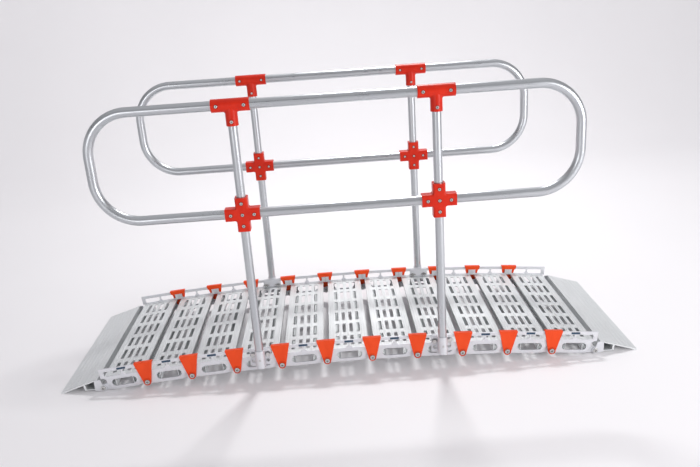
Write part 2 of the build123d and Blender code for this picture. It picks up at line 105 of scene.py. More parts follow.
def add_node(
    tree: bpy.types.NodeTree,
    kind: str,
    settings: dict[str, object] | None = None,
    inputs: Inputs | None = None,
) -> bpy.types.Node:
    """Add one shader node, set it up and link what feeds it.

    Args:
        tree: Node tree that takes the node.
        kind: Node type, without the ShaderNode prefix.
        settings: Node properties by name.
        inputs: Socket values by name or index. An output socket given here is linked, and so is
            a node's first output.

    Returns:
        The new node.
    """
    node = tree.nodes.new("ShaderNode" + kind)
    for name, value in (settings or {}).items():
        setattr(node, name, value)
    for name, value in (inputs or {}).items():
        socket = node.inputs[name]
        if isinstance(value, bpy.types.Node):
            value = value.outputs[0]
        if isinstance(value, bpy.types.NodeSocket):
            tree.links.new(value, socket)
        else:
            socket.default_value = value
    return node


class Grain(Enum):
    """Direction in which a metal was drawn, extruded or ground, as a unit vector."""

    ALONG = (1.0, 0.0, 0.0)
    ACROSS = (0.0, 1.0, 0.0)
    UPRIGHT = (0.0, 0.0, 1.0)
    TURNED = (1.0, 1.0, 1.0)


def cycles(*sizes_mm: float) -> Point:
    """Texture scale of a pattern from the real size of its patches.

    Args:
        sizes_mm: Patch size along X, Y and Z in millimetres, or one size for all three.

    Returns:
        Scale for a Mapping node, in cycles per metre.
    """
    x, y, z = sizes_mm if len(sizes_mm) == 3 else sizes_mm * 3
    return (1 / (x * MM), 1 / (y * MM), 1 / (z * MM))


def stretched(grain: Grain, fine_mm: float, long_mm: float) -> Point:
    """Texture scale of streaks that are narrow across the grain and long along it.

    Args:
        grain: Direction of the streaks.
        fine_mm: Width of one streak in millimetres.
        long_mm: Length of one streak in millimetres.

    Returns:
        Scale for a Mapping node, in cycles per metre.
    """
    if grain is Grain.TURNED:
        return cycles(fine_mm)
    return cycles(*(long_mm if part else fine_mm for part in grain.value))


def ranged(value: bpy.types.NodeSocket | bpy.types.Node, source: Span, target: Span) -> Inputs:
    """Inputs that make a Map Range node take one range to another, clamped.

    Args:
        value: Socket or node that gives the incoming value.
        source: Low and high end of the incoming value.
        target: What those ends become.

    Returns:
        Inputs for add_node.
    """
    return {
        "Value": value,
        "From Min": source[0],
        "From Max": source[1],
        "To Min": target[0],
        "To Max": target[1],
    }


def new_material(name: str) -> tuple[bpy.types.Material, bpy.types.NodeTree, bpy.types.Node]:
    """Make an empty node material with its output.

    Args:
        name: Material name.

    Returns:
        The material, its node tree and its output node.
    """
    material = bpy.data.materials.new(name)
    material.use_nodes = True
    tree = material.node_tree
    tree.nodes.clear()
    return material, tree, add_node(tree, "OutputMaterial")


def speckle(place: bpy.types.Node, detail: float) -> Inputs:
    """Inputs of a noise texture that keeps the scale of the space it is given.

    Args:
        place: Mapping node with the pattern's own space.
        detail: Octaves of finer noise.

    Returns:
        Inputs for add_node.
    """
    return {"Vector": place, "Scale": 1.0, "Detail": detail}


def painted_edge_highlight(tree: bpy.types.NodeTree, radius_mm: float, strength: float) -> bpy.types.Node:
    """How close a point is to a sharp edge, where a painted highlight makes the surface paler.

    Args:
        tree: Node tree that takes the nodes.
        radius_mm: Width of the painted highlight strip in millimetres.
        strength: Value on the edge itself.

    Returns:
        A node that gives zero on flats and rises to the strength on sharp edges.
    """
    rounded = add_node(tree, "Bevel", {"samples": 4}, {"Radius": radius_mm * MM})
    flat = add_node(tree, "NewGeometry").outputs["Normal"]
    match = add_node(tree, "VectorMath", {"operation": "DOT_PRODUCT"}, {0: rounded, 1: flat})
    bend = add_node(tree, "MapRange", inputs=ranged(match.outputs["Value"], (0.97, 0.72), UNIT))
    return add_node(tree, "MapRange", inputs=ranged(bend, UNIT, (0.0, strength)))


def painted_recess_shade(tree: bpy.types.NodeTree, reach_mm: float, strength: float) -> bpy.types.Node:
    """How far a point lies down in a socket or a corner, where shade is painted in.

    Args:
        tree: Node tree that takes the nodes.
        reach_mm: How far round the point its surroundings count, in millimetres.
        strength: Value at the bottom of a recess.

    Returns:
        A node that gives zero in the open and rises to the strength in recesses.
    """
    shelter = add_node(tree, "AmbientOcclusion", {"samples": 4}, {"Distance": reach_mm * MM})
    depth = add_node(tree, "MapRange", inputs=ranged(shelter.outputs["AO"], (0.92, 0.55), UNIT))
    return add_node(tree, "MapRange", inputs=ranged(depth, UNIT, (0.0, strength)))


@dataclass(frozen=True)
class AnodisedAluminium:
    """Silver anodised aluminium: a satin metal whose streaks follow how it was formed.

    The etched oxide layer scatters part of the light, so the metal is mixed with a pale diffuse.
    """

    name: str
    tint: str
    worn_tint: str
    grain: Grain
    streak_mm: float
    streak_length_mm: float
    roughness: float
    bump_mm: float
    # Pale tint of the painted highlight on sharp edges.
    edge_highlight_tint: str = "#F4F5F6"
    mottle_mm: float = 38.0
    edge_mm: float = 0.5
    edge_highlight_strength: float = 0.3
    metallic: float = 0.6

    def material(self) -> bpy.types.Material:
        """Build the finish with streaks, handling marks and a painted highlight on sharp edges."""
        material, tree, output = new_material(self.name)
        place = add_node(tree, "TexCoord").outputs["Object"]
        drawn = stretched(self.grain, self.streak_mm, self.streak_length_mm)
        along = add_node(tree, "Mapping", inputs={"Vector": place, "Scale": drawn})
        streaks = add_node(tree, "TexNoise", inputs=speckle(along, 3.0))
        patches = add_node(
            tree, "Mapping", inputs={"Vector": place, "Scale": cycles(self.mottle_mm)}
        )
        mottle = add_node(tree, "TexNoise", inputs=speckle(patches, 4.0))
        pores = add_node(
            tree, "Mapping", inputs={"Vector": place, "Scale": cycles(0.25 * self.streak_mm)}
        )
        fine = add_node(tree, "TexNoise", inputs=speckle(pores, 2.0))

        streaky = add_node(tree, "MapRange", inputs=ranged(streaks, NOISE_BAND, UNIT))
        shade = add_node(
            tree, "Mix", {"data_type": "RGBA"},
            {0: streaky, 6: linear_rgb(self.tint), 7: linear_rgb(self.worn_tint)},
        )
        # Painted highlight: sharp edges are mixed towards the pale tint.
        edge_highlight = painted_edge_highlight(tree, self.edge_mm, self.edge_highlight_strength)
        with_edge_highlight = add_node(
            tree, "Mix", {"data_type": "RGBA"},
            {0: edge_highlight, 6: shade.outputs[2], 7: linear_rgb(self.edge_highlight_tint)},
        )

        satin = (self.roughness - 0.04, self.roughness + 0.05)
        handled = add_node(tree, "MapRange", inputs=ranged(mottle, NOISE_BAND, satin))
        lines = add_node(tree, "MapRange", inputs=ranged(streaks, NOISE_BAND, (-0.03, 0.03)))
        gloss = add_node(tree, "Math", {"operation": "ADD"}, {0: handled, 1: lines})

        pitted = add_node(tree, "MapRange", inputs=ranged(fine, UNIT, (0.0, 0.35)))
        height = add_node(tree, "Math", {"operation": "ADD"}, {0: streaks, 1: pitted})
        rounded = add_node(tree, "Bevel", {"samples": 4}, {"Radius": self.edge_mm * MM})
        bump = add_node(
            tree, "Bump",
            inputs={"Strength": 0.55, "Distance": self.bump_mm * MM,
                    "Height": height, "Normal": rounded},
        )
        shader = add_node(
            tree, "BsdfPrincipled",
            inputs={"Base Color": with_edge_highlight.outputs[2], "Metallic": self.metallic,
                    "Roughness": gloss, "Normal": bump},
        )
        tree.links.new(shader.outputs[0], output.inputs[0])
        return material


@dataclass(frozen=True)
class MouldedNylon:
    """Injection-moulded nylon: even colour and a fine spark-eroded grain, with a painted highlight
    that makes edges paler and painted shade in corners.
    """

    name: str
    colour: str
    deep_colour: str
    edge_highlight_colour: str
    # The next colour is a painted highlight on sharp edges, the one after it painted shade in
    # corners.
    painted_shade_colour: str
    roughness: float
    grain_mm: float = 1.1
    flow_mm: Point = (30.0, 30.0, 55.0)
    edge_mm: float = 0.9
    edge_highlight_strength: float = 0.35
    painted_shade_reach_mm: float = 6.0
    painted_shade_strength: float = 0.65

    def material(self) -> bpy.types.Material:
        """Build the finish with flow marks, grain, a painted highlight on sharp edges and painted
        shade in corners.
        """
        material, tree, output = new_material(self.name)
        place = add_node(tree, "TexCoord").outputs["Object"]
        melt = add_node(
            tree, "Mapping", inputs={"Vector": place, "Scale": cycles(*self.flow_mm)}
        )
        flow = add_node(tree, "TexNoise", inputs=speckle(melt, 3.0))
        eroded = add_node(
            tree, "Mapping", inputs={"Vector": place, "Scale": cycles(self.grain_mm)}
        )
        grain = add_node(tree, "TexNoise", inputs=speckle(eroded, 2.0))

        swirl = add_node(tree, "MapRange", inputs=ranged(flow, NOISE_BAND, UNIT))
        body = add_node(
            tree, "Mix", {"data_type": "RGBA"},
            {0: swirl, 6: linear_rgb(self.deep_colour), 7: linear_rgb(self.colour)},
        )
        # Painted highlight: sharp edges are mixed towards the paler colour.
        edge_highlight = painted_edge_highlight(tree, self.edge_mm, self.edge_highlight_strength)
        with_edge_highlight = add_node(
            tree, "Mix", {"data_type": "RGBA"},
            {0: edge_highlight, 6: body.outputs[2], 7: linear_rgb(self.edge_highlight_colour)},
        )
        # Painted shade: corners and recesses are mixed towards the dark colour.
        corners = painted_recess_shade(tree, self.painted_shade_reach_mm, self.painted_shade_strength)
        corner_shaded = add_node(
            tree, "Mix", {"data_type": "RGBA"},
            {0: corners, 6: with_edge_highlight.outputs[2], 7: linear_rgb(self.painted_shade_colour)},
        )

        sheen = (self.roughness - 0.05, self.roughness + 0.07)
        gloss = add_node(tree, "MapRange", inputs=ranged(grain, NOISE_BAND, sheen))
        rounded = add_node(tree, "Bevel", {"samples": 4}, {"Radius": self.edge_mm * MM})
        bump = add_node(
            tree, "Bump",
            inputs={"Strength": 0.35, "Distance": 0.12 * MM, "Height": grain, "Normal": rounded},
        )
        shader = add_node(
            tree, "BsdfPrincipled",
            inputs={"Base Color": corner_shaded.outputs[2], "IOR": 1.45, "Specular IOR Level": 0.3,
                    "Roughness": gloss, "Normal": bump},
        )
        tree.links.new(shader.outputs[0], output.inputs[0])
        return material


@dataclass(frozen=True)
class ZincPlatedSteel:
    """Bright zinc-plated steel: a clean cool metal, cloudy from its passivation."""

    name: str
    tint: str
    cloud_tint: str
    # Dark colour of the painted shade in the sockets.
    painted_socket_shade: str
    roughness: float
    cloud_mm: float = 5.0
    turning_mm: float = 0.5
    painted_shade_reach_mm: float = 4.0
    edge_mm: float = 0.4

    def material(self) -> bpy.types.Material:
        """Build the finish with cloudy plating, turning marks and painted shade in the sockets."""
        material, tree, output = new_material(self.name)
        place = add_node(tree, "TexCoord").outputs["Object"]
        bath = add_node(tree, "Mapping", inputs={"Vector": place, "Scale": cycles(self.cloud_mm)})
        clouds = add_node(tree, "TexNoise", inputs=speckle(bath, 4.0))
        lathe_marks = add_node(
            tree, "Mapping", inputs={"Vector": place, "Scale": cycles(self.turning_mm)}
        )
        marks = add_node(tree, "TexNoise", inputs=speckle(lathe_marks, 2.0))

        cloudy = add_node(tree, "MapRange", inputs=ranged(clouds, NOISE_BAND, UNIT))
        plate = add_node(
            tree, "Mix", {"data_type": "RGBA"},
            {0: cloudy, 6: linear_rgb(self.tint), 7: linear_rgb(self.cloud_tint)},
        )
        # Painted shade: sockets and other recesses are mixed towards the dark colour.
        sockets = painted_recess_shade(tree, self.painted_shade_reach_mm, 1.0)
        socket_shaded = add_node(
            tree, "Mix", {"data_type": "RGBA"},
            {0: sockets, 6: plate.outputs[2], 7: linear_rgb(self.painted_socket_shade)},
        )

        sheen = (self.roughness - 0.06, self.roughness + 0.1)
        gloss = add_node(tree, "MapRange", inputs=ranged(clouds, NOISE_BAND, sheen))
        rounded = add_node(tree, "Bevel", {"samples": 4}, {"Radius": self.edge_mm * MM})
        bump = add_node(
            tree, "Bump",
            inputs={"Strength": 0.3, "Distance": 0.05 * MM, "Height": marks, "Normal": rounded},
        )
        shader = add_node(
            tree, "BsdfPrincipled",
            inputs={"Base Color": socket_shaded.outputs[2], "Metallic": 1.0,
                    "Roughness": gloss, "Normal": bump},
        )
        tree.links.new(shader.outputs[0], output.inputs[0])
        return material


@dataclass(frozen=True)
class PrintedVinyl:
    """Blank self-adhesive vinyl plate: deep blue ink under a thin clear film with scuffs."""

    name: str
    ink: str
    faded_ink: str
    fade_mm: Point = (9.0, 9.0, 4.0)
    scuff_mm: Point = (6.0, 6.0, 0.8)

    def material(self) -> bpy.types.Material:
        """Build the finish with faded ink and a scuffed clear film."""
        material, tree, output = new_material(self.name)
        place = add_node(tree, "TexCoord").outputs["Object"]
        sunned = add_node(
            tree, "Mapping", inputs={"Vector": place, "Scale": cycles(*self.fade_mm)}
        )
        fade = add_node(tree, "TexNoise", inputs=speckle(sunned, 3.0))
        wiped = add_node(
            tree, "Mapping", inputs={"Vector": place, "Scale": cycles(*self.scuff_mm)}
        )
        scuffs = add_node(tree, "TexNoise", inputs=speckle(wiped, 2.0))

        faded = add_node(tree, "MapRange", inputs=ranged(fade, (0.35, 0.75), UNIT))
        ink = add_node(
            tree, "Mix", {"data_type": "RGBA"},
            {0: faded, 6: linear_rgb(self.ink), 7: linear_rgb(self.faded_ink)},
        )
        gloss = add_node(tree, "MapRange", inputs=ranged(scuffs, NOISE_BAND, (0.28, 0.5)))
        bump = add_node(
            tree, "Bump", inputs={"Strength": 0.2, "Distance": 0.05 * MM, "Height": scuffs}
        )
        shader = add_node(
            tree, "BsdfPrincipled",
            inputs={"Base Color": ink.outputs[2], "IOR": 1.5, "Roughness": gloss,
                    "Coat Weight": 0.4, "Coat Roughness": 0.15, "Normal": bump},
        )
        tree.links.new(shader.outputs[0], output.inputs[0])
        return material


@dataclass(frozen=True)
class SweepPaper:
    """Pale background paper: matt, with hardly any tone of its own."""

    name: str
    tone: str
    light_tone: str
    cloud_mm: float = 1250.0

    def material(self) -> bpy.types.Material:
        """Build the finish with a broad, faint change of tone."""
        material, tree, output = new_material(self.name)
        place = add_node(tree, "TexCoord").outputs["Object"]
        broad = add_node(tree, "Mapping", inputs={"Vector": place, "Scale": cycles(self.cloud_mm)})
        cloud = add_node(tree, "TexNoise", inputs=speckle(broad, 2.0))
        tone = add_node(
            tree, "Mix", {"data_type": "RGBA"},
            {0: cloud, 6: linear_rgb(self.tone), 7: linear_rgb(self.light_tone)},
        )
        shader = add_node(
            tree, "BsdfPrincipled",
            inputs={"Base Color": tone.outputs[2], "Roughness": 0.55, "IOR": 1.4},
        )
        tree.links.new(shader.outputs[0], output.inputs[0])
        return material


# Extruded deck and flap sections, etched before anodising: pale and satin, with die lines that
# run across the ramp. Real lines are 0.4 mm apart and are drawn 3 mm wide so that they show.
EXTRUDED = AnodisedAluminium(
    "extruded_anodised_aluminium", "#DADDDE", "#E6E8E9", Grain.ACROSS, 3.0, 260.0, 0.46, 0.08
)
# Punched and tumbled side plates, lugs and brackets: an even matt surface with no direction. The
# stones leave 0.2 mm dents, which are drawn 2.2 mm wide so that they show.
TUMBLED = AnodisedAluminium(
    "tumbled_anodised_aluminium", "#D6D7DB", "#E0E1E5", Grain.TURNED, 2.2, 2.2, 0.50, 0.06
)
# Drawn and bright-dipped tubes: smoother and more metallic than the sections, with faint
# lengthwise streaks. Real streaks are 0.3 mm wide and are drawn 2.5 mm wide so that they show.
DRAWN_RAIL = AnodisedAluminium(
    "drawn_anodised_rail", "#C0C3C7", "#C8CBCE", Grain.ALONG, 2.5, 900.0, 0.30, 0.004,
    mottle_mm=120.0, edge_mm=0.2, metallic=0.9,
)
DRAWN_POST = AnodisedAluminium(
    "drawn_anodised_post", "#C0C3C7", "#C8CBCE", Grain.UPRIGHT, 2.5, 900.0, 0.30, 0.004,
    mottle_mm=120.0, edge_mm=0.2, metallic=0.9,
)
# Clips of glass-filled nylon from a spark-eroded mould: a warm orange, half matt. The mould's
# 0.3 mm grain is drawn 1.1 mm wide so that it shows.
# Its paler orange is a painted highlight on sharp edges and its dark red painted shade in corners.
CLIP_NYLON = MouldedNylon("orange_clip_nylon", "#EC4C1A", "#E24414", "#FA7444", "#8C1C08", 0.42)
# Clamps of the same nylon with more red pigment, from a smoother mould: darker and glossier.
# Its paler red is a painted highlight on sharp edges and its darkest red painted shade in corners.
CLAMP_NYLON = MouldedNylon("red_clamp_nylon", "#D82C12", "#CA220C", "#EC5030", "#6E0E06", 0.33)
# Bolts and screws: bright zinc that clouds in 5 mm patches, with painted shade in the sockets.
ZINC = ZincPlatedSteel("bright_zinc_plated_steel", "#D8D6D2", "#C2C3C4", "#2B2927", 0.30)
# Name plates: blue screen ink on vinyl under clear film, which gives a soft second highlight.
PLATE_VINYL = PrintedVinyl("blank_blue_vinyl", "#0D2B45", "#1B4566")
# Floor and backdrop in one sheet of paper, which bounces soft light up under the decks.
STUDIO_PAPER = SweepPaper("pale_studio_floor", "#EFEDEF", "#F4F2F4")


class Side(Enum):
    """Side of the ramp, as the sign of Y."""

    NEAR = -1
    FAR = 1


def mesh_piece(name: str, mesh: bmesh.types.BMesh, finish: bpy.types.Material) -> bpy.types.Object:
    """Turn a bmesh into a linked, smooth-shaded object with a finish.

    Args:
        name: Object name.
        mesh: Geometry in metres in the row's frame; it is freed.
        finish: Material for all faces.

    Returns:
        The new object.
    """
    bmesh.ops.recalc_face_normals(mesh, faces=mesh.faces)
    for edge in mesh.edges:
        edge.smooth = edge.calc_face_angle(0.0) < SMOOTH_LIMIT
    for face in mesh.faces:
        face.smooth = True
    data = bpy.data.meshes.new(name)
    mesh.to_mesh(data)
    mesh.free()
    data.materials.append(finish)
    piece = bpy.data.objects.new(name, data)
    bpy.context.scene.collection.objects.link(piece)
    LOG.info("made %s", name)
    return piece


def dress(node: bpy.types.Object, finish: bpy.types.Material) -> None:
    """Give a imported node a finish, smooth round faces and crisp edges.

    Args:
        node: The node's object.
        finish: Material for all its faces.
    """
    node.data.materials.clear()
    node.data.materials.append(finish)
    node.data.shade_smooth()
    weld = node.modifiers.new("join_facets", "WELD")
    weld.merge_threshold = FACET_GAP
    crease = node.modifiers.new("keep_edges", "EDGE_SPLIT")
    crease.split_angle = CREASE_LIMIT
    crease.use_edge_sharp = False
    flats = node.modifiers.new("keep_flats", "WEIGHTED_NORMAL")
    flats.weight = FLAT_FACE_WEIGHT


def lathe(
    mesh: bmesh.types.BMesh, profile: Sequence[tuple[float, float]], place: Matrix, steps: int
) -> None:
    """Turn a closed profile about the local Y axis into a ring.

    Args:
        mesh: Mesh that takes the ring.
        profile: Closed loop of (radius, y) points in metres.
        place: Where the ring goes.
        steps: Segments round the ring.
    """
    rings = []
    for step in range(steps):
        angle = 2 * math.pi * step / steps
        ring = []
        for radius, y in profile:
            point = place @ Vector((radius * math.cos(angle), y, radius * math.sin(angle)))
            ring.append(mesh.verts.new(point))
        rings.append(ring)
    count = len(profile)
    for step, ring in enumerate(rings):
        after = rings[(step + 1) % steps]
        for i in range(count):
            j = (i + 1) % count
            mesh.faces.new((ring[i], ring[j], after[j], after[i]))


def sweep_tube(
    mesh: bmesh.types.BMesh, path: Sequence[Vector], radius: float, closed: bool, sides: int = 48
) -> None:
    """Sweep a round tube along a path that lies in a plane of constant Y.

    Args:
        mesh: Mesh that takes the tube.
        path: Points of the centre line, in metres.
        radius: Outer radius in metres.
        closed: Whether the last point joins the first.
        sides: Facets round the tube.
    """
    rings = []
    count = len(path)
    for i, point in enumerate(path):
        before = path[i - 1] if closed or i else point
        after = path[(i + 1) % count] if closed or i < count - 1 else point
        along = (after - before).normalized()
        inward = along.cross(Vector((0, 1, 0)))
        ring = []
        for k in range(sides):
            angle = 2 * math.pi * k / sides
            offset = math.cos(angle) * inward + Vector((0, math.sin(angle), 0))
            ring.append(mesh.verts.new(point + radius * offset))
        rings.append(ring)
    for i in range(count if closed else count - 1):
        ring, after = rings[i], rings[(i + 1) % count]
        for k in range(sides):
            n = (k + 1) % sides
            mesh.faces.new((ring[k], ring[n], after[n], after[k]))
    if not closed:
        mesh.faces.new(rings[0])
        mesh.faces.new(list(reversed(rings[-1])))


@dataclass(frozen=True)
class Chain:
    """Hinge line of the eleven modules: a shallow symmetric arch over the floor."""

    module_count: int = 11
    pitch: float = 175.0 * MM
    turn: float = math.radians(1.04)
    foot: float = 13.0 * MM

    @property
    def middle(self) -> int:
        """Number of the module at the top of the arch."""
        return (self.module_count + 1) // 2

    def slope(self, module: int) -> float:
        """Slope of a module in radians, rising towards +X."""
        return (self.middle - module) * self.turn

    def pins(self) -> list[tuple[float, float]]:
        """Hinge axes as (x, z), from the left flap's to the right flap's."""
        x = z = 0.0
        line = [(x, z)]
        for module in range(1, self.module_count + 1):
            x += self.pitch * math.cos(self.slope(module))
            z += self.pitch * math.sin(self.slope(module))
            line.append((x, z))
        return [(px - x / 2, pz + self.foot) for px, pz in line]

    def module_place(self, module: int) -> Matrix:
        """Frame of a module: midway between its bolts, turned to its slope."""
        pins = self.pins()
        (x0, z0), (x1, z1) = pins[module - 1], pins[module]
        middle = Matrix.Translation(((x0 + x1) / 2, 0, (z0 + z1) / 2))
        return middle @ Matrix.Rotation(-self.slope(module), 4, "Y")

    def joint_place(self, joint: int) -> Matrix:
        """Frame of the joint after a module, upright on the bisector."""
        x, z = self.pins()[joint]
        lean = (self.slope(joint) + self.slope(joint + 1)) / 2
        return Matrix.Translation((x, 0, z)) @ Matrix.Rotation(-lean, 4, "Y")


@dataclass
class LinkChain:
    """The slotted decks and side plates, with a blank name plate on each free rail."""

    frame: dict
    chain: Chain
    outer_face: float = 350.0 * MM
    plate_length: float = 34.0 * MM
    plate_height: float = 8.5 * MM
    plate_thickness: float = 0.5 * MM
    plate_middle: float = 73.5 * MM
    plate_corner: float = 1.5 * MM
    bracket_modules: tuple[int, int] = (4, 8)

    def dress_nodes(self, extruded: bpy.types.Material, tumbled: bpy.types.Material) -> None:
        """Finish the decks and side plates.

        Args:
            extruded: Finish of the decks.
            tumbled: Finish of the side plates.
        """
        for module in range(1, self.chain.module_count + 1):
            dress(self.frame["nodes"][f"deck_{module:02d}"], extruded)
            dress(self.frame["nodes"][f"side_plates_{module:02d}"], tumbled)

    def name_plate(self, module: int, side: Side, finish: bpy.types.Material) -> None:
        """Stick a blank rounded plate on the outer face of a module's rail.

        Args:
            module: Module number.
            side: Near or far side.
            finish: Vinyl of the plate.
        """
        mesh = bmesh.new()
        bmesh.ops.create_cube(mesh, size=1.0)
        size = Matrix.Diagonal((self.plate_length, self.plate_thickness, self.plate_height, 1.0))
        bmesh.ops.transform(mesh, matrix=size, verts=mesh.verts)
        upright = [e for e in mesh.edges if abs((e.verts[0].co - e.verts[1].co).y) > 1e-6]
        bmesh.ops.bevel(
            mesh, geom=upright, offset=self.plate_corner, segments=4, affect="EDGES", profile=0.5
        )
        y = side.value * (self.outer_face + self.plate_thickness / 2)
        place = self.chain.module_place(module) @ Matrix.Translation((0, y, self.plate_middle))
        bmesh.ops.transform(mesh, matrix=place, verts=mesh.verts)
        piece = mesh_piece(f"name_plate_{module:02d}_{side.name.lower()}", mesh, finish)
        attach(piece, self.frame["nodes"][f"deck_{module:02d}"]["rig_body"])

    def build(self, materials: dict[str, bpy.types.Material]) -> None:
        """Dress the chain and add its name plates.

        Args:
            materials: Finishes by name.
        """
        self.dress_nodes(materials["extruded"], materials["tumbled"])
        for module in range(1, self.chain.module_count + 1):
            if module not in self.bracket_modules:
                for side in Side:
                    self.name_plate(module, side, materials["vinyl"])


@dataclass
class JointClips:
    """Orange clips over each pair of ears, with a moulded collar round each bolt head."""

    frame: dict
    chain: Chain
    outer_face: float = 355.5 * MM
    collar_outer: float = 14.2 * MM
    collar_inner: float = 11.2 * MM
    collar_height: float = 2.4 * MM
    collar_round: float = 0.7 * MM
    collar_sink: float = 0.3 * MM
    steps: int = 56

    def collar(self, mesh: bmesh.types.BMesh, joint: int, side: Side) -> None:
        """Add one collar on a clip's eye.

        Args:
            mesh: Mesh that takes the collar.
            joint: Joint number.
            side: Near or far side.
        """
        sign = side.value
        face = self.outer_face - self.collar_sink
        top = self.outer_face + self.collar_height
        soft = self.collar_round
        profile = [
            (self.collar_inner, sign * face),
            (self.collar_outer, sign * face),
            (self.collar_outer, sign * (top - soft)),
            (self.collar_outer - 0.3 * soft, sign * (top - 0.3 * soft)),
            (self.collar_outer - soft, sign * top),
            (self.collar_inner + soft, sign * top),
            (self.collar_inner + 0.3 * soft, sign * (top - 0.3 * soft)),
            (self.collar_inner, sign * (top - soft)),
        ]
        lathe(mesh, profile, self.chain.joint_place(joint), self.steps)

    def build(self, materials: dict[str, bpy.types.Material]) -> None:
        """Dress the clips and add their collars.

        Args:
            materials: Finishes by name.
        """
        for joint in range(1, self.chain.module_count):
            node = self.frame["nodes"][f"joint_clips_{joint:02d}"]
            dress(node, materials["clip"])
            mesh = bmesh.new()
            for side in Side:
                self.collar(mesh, joint, side)
            piece = mesh_piece(f"clip_collars_{joint:02d}", mesh, materials["clip"])
            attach(piece, node["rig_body"])
        LOG.info("joint clips dressed")


@dataclass
class EndFlaps:
    """Wedge flaps hung on lugs at both ends."""

    frame: dict

    def build(self, materials: dict[str, bpy.types.Material]) -> None:
        """Dress the flaps, their lugs and bolts.

        Args:
            materials: Finishes by name.
        """
        for end in ("left", "right"):
            dress(self.frame["nodes"][f"flap_{end}"], materials["extruded"])
            dress(self.frame["nodes"][f"flap_lugs_{end}"], materials["tumbled"])
            dress(self.frame["nodes"][f"flap_bolts_{end}"], materials["zinc"])
        LOG.info("end flaps dressed")


@dataclass
class Handrails:
    """Tube loops on clamped posts, one on each side."""

    frame: dict
    chain: Chain
    post_modules: tuple[int, int] = (4, 8)
    shift: float = 8.0 * MM
    plane: float = 370.2 * MM
    rail_radius: float = 17.48 * MM
    post_radius: float = 15.98 * MM
    top: float = 1012.0 * MM
    middle: float = 627.0 * MM
    overhang: float = 505.0 * MM
    bend: float = 150.0 * MM
    bend_steps: int = 24
    post_foot: float = 12.0 * MM
    post_head: float = 993.5 * MM

    def posts(self) -> list[tuple[float, float]]:
        """Post lines as (x, z of the hinge bolts), left and right."""
        pins = self.chain.pins()
        spots = []
        for module in self.post_modules:
            (x0, z0), (x1, z1) = pins[module - 1], pins[module]
            spots.append(((x0 + x1) / 2 + self.shift, (z0 + z1) / 2))
        return spots

    def loop(self, side: Side) -> list[Vector]:
        """Centre line of a handrail, from its lower right bend upwards and round.

        Args:
            side: Near or far side.

        Returns:
            Points round the closed loop.
        """
        (left, z), (right, _) = self.posts()
        y = side.value * self.plane
        far_left, far_right = left - self.overhang + self.bend, right + self.overhang - self.bend
        low, high = z + self.middle + self.bend, z + self.top - self.bend
        corners_of_loop = (
            (far_right, low, -90), (far_right, high, 0), (far_left, high, 90), (far_left, low, 180)
        )
        points = []
        for x, height, start in corners_of_loop:
            for step in range(self.bend_steps + 1):
                angle = math.radians(start + 90 * step / self.bend_steps)
                reach = (self.bend * math.cos(angle), 0, self.bend * math.sin(angle))
                points.append(Vector((x, y, height)) + Vector(reach))
        return points

    def tubes(self, side: Side, materials: dict[str, bpy.types.Material]) -> None:
        """Sweep one side's rail loop and posts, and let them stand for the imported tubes.

        Args:
            side: Near or far side.
            materials: Finishes by name.
        """
        name = side.name.lower()
        body = self.frame["nodes"][f"posts_{name}"]["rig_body"]
        rail = bmesh.new()
        sweep_tube(rail, self.loop(side), self.rail_radius, closed=True)
        piece = mesh_piece(f"rail_loop_{name}", rail, materials["rail"])
        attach(piece, body)
        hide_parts(f"rail_bends_{name}", f"rail_straights_{name}")
        uprights = bmesh.new()
        y = side.value * self.plane
        for x, z in self.posts():
            ends = [Vector((x, y, z + height)) for height in (self.post_foot, self.post_head)]
            sweep_tube(uprights, ends, self.post_radius, closed=False)
        piece = mesh_piece(f"post_tubes_{name}", uprights, materials["post"])
        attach(piece, body)
        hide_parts(f"posts_{name}")

    def build(self, materials: dict[str, bpy.types.Material]) -> None:
        """Sweep the tubes and dress clamps, brackets, bolts and screws.

        Args:
            materials: Finishes by name.
        """
        nodes = self.frame["nodes"]
        for side in Side:
            name = side.name.lower()
            self.tubes(side, materials)
            dress(nodes[f"tee_clamps_{name}"], materials["clamp"])
            dress(nodes[f"cross_clamps_{name}"], materials["clamp"])
            dress(nodes[f"post_brackets_{name}"], materials["tumbled"])
        dress(nodes["bracket_clamp_plates"], materials["tumbled"])
        for name, node in nodes.items():
            if name.startswith("hinge_bolts") or name in ("clamp_screws", "bracket_bolts"):
                dress(node, materials["zinc"])
        LOG.info("handrails dressed")


@dataclass(frozen=True)
class SoftBox:
    """A rectangular studio light, in metres and watts."""

    name: str
    place: Point
    target: Point
    size: tuple[float, float]
    power: float

    def hang(self) -> None:
        """Put the light in the scene, facing its target."""
        data = bpy.data.lights.new(self.name, "AREA")
        data.shape = "RECTANGLE"
        data.size, data.size_y = self.size
        data.energy = self.power
        lamp = bpy.data.objects.new(self.name, data)
        lamp.location = self.place
        aim = Vector(self.target) - Vector(self.place)
        lamp.rotation_euler = aim.to_track_quat("-Z", "Y").to_euler()
        bpy.context.scene.collection.objects.link(lamp)


# A low key from the right, a weaker fill from the left, a small hard box behind and above that
# throws the slots' light streaks forward on the floor, and a long box that washes the backdrop.
SOFT_BOXES = (
    SoftBox("key_right", (3.4, -3.0, 1.3), (0.5, 0.0, 0.3), (1.8, 1.4), 100.0),
    SoftBox("fill_left", (-2.4, -4.2, 1.1), (-0.3, 0.0, 0.4), (2.0, 1.4), 26.0),
    SoftBox("top_back", (0.5, 2.0, 3.6), (0.0, 0.0, 0.0), (0.8, 0.5), 88.0),
    SoftBox("backdrop_wash", (0.0, 2.8, 3.3), (0.0, 5.5, 0.8), (12.0, 0.8), 60.0),
)


